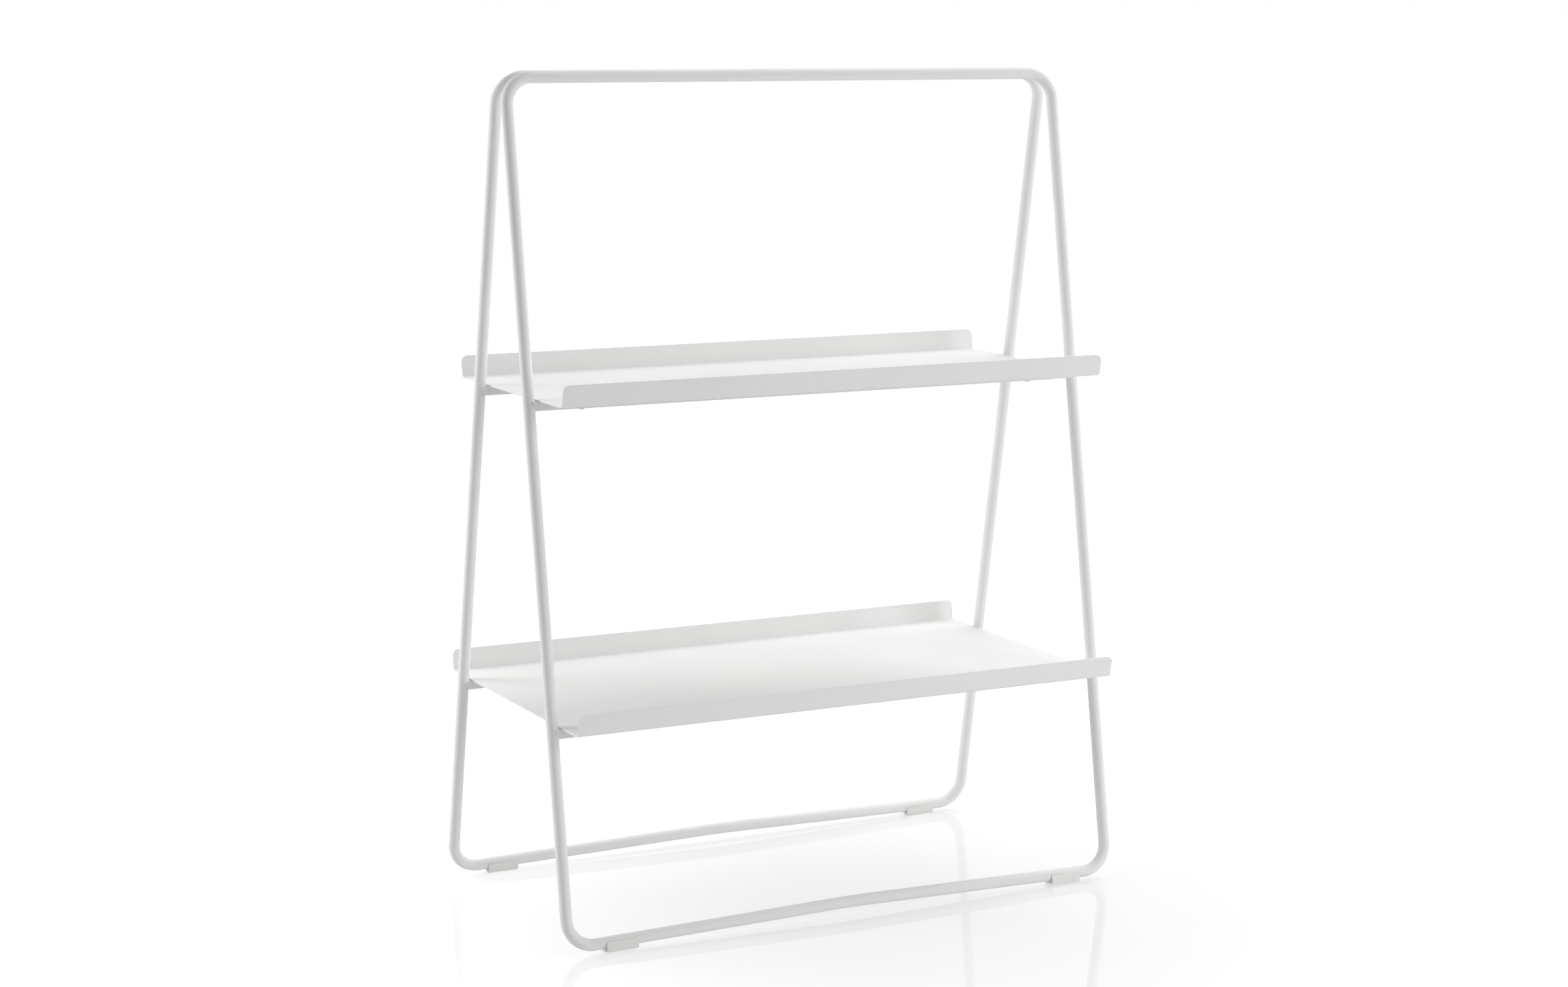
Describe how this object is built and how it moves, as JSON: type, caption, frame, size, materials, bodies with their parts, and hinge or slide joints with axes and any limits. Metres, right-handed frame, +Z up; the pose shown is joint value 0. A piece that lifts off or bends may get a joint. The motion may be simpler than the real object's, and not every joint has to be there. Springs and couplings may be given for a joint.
{
  "type": "a-frame shelf",
  "caption": "Open A-frame shelving unit: leaning round-tube loops joined at the top carry flanged sheet-metal trays on square rails, standing on plastic saddle pads.",
  "frame": {"origin": "on the floor, under the middle of the shelf", "axes": "+X along the shelf's length, -Y towards its front, +Z up"},
  "size_m": [0.64, 0.3346, 0.856],
  "materials": {
    "frame_paint": "white powder coat, fine satin texture",
    "tray_paint": "white powder coat, fine satin texture",
    "screw_zinc": "bright zinc plate",
    "pad_plastic": "moulded light grey plastic, matte"
  },
  "bodies": {
    "root": {"front_loop": "frame_paint", "rear_loop": "frame_paint", "upper_front_rail": "frame_paint", "upper_rear_rail": "frame_paint", "lower_front_rail": "frame_paint", "lower_rear_rail": "frame_paint", "front_loop_welds": "frame_paint", "rear_loop_welds": "frame_paint", "upper_tray": "tray_paint", "lower_tray": "tray_paint", "upper_tray_studs": "tray_paint", "lower_tray_studs": "tray_paint", "upper_tray_screws": "screw_zinc", "lower_tray_screws": "screw_zinc", "top_spacer_left": "frame_paint", "top_spacer_right": "frame_paint", "top_saddle_washers": "screw_zinc", "top_screws": "screw_zinc", "front_left_pad": "pad_plastic", "front_right_pad": "pad_plastic", "rear_left_pad": "pad_plastic", "rear_right_pad": "pad_plastic"}
  },
  "joints": []
}
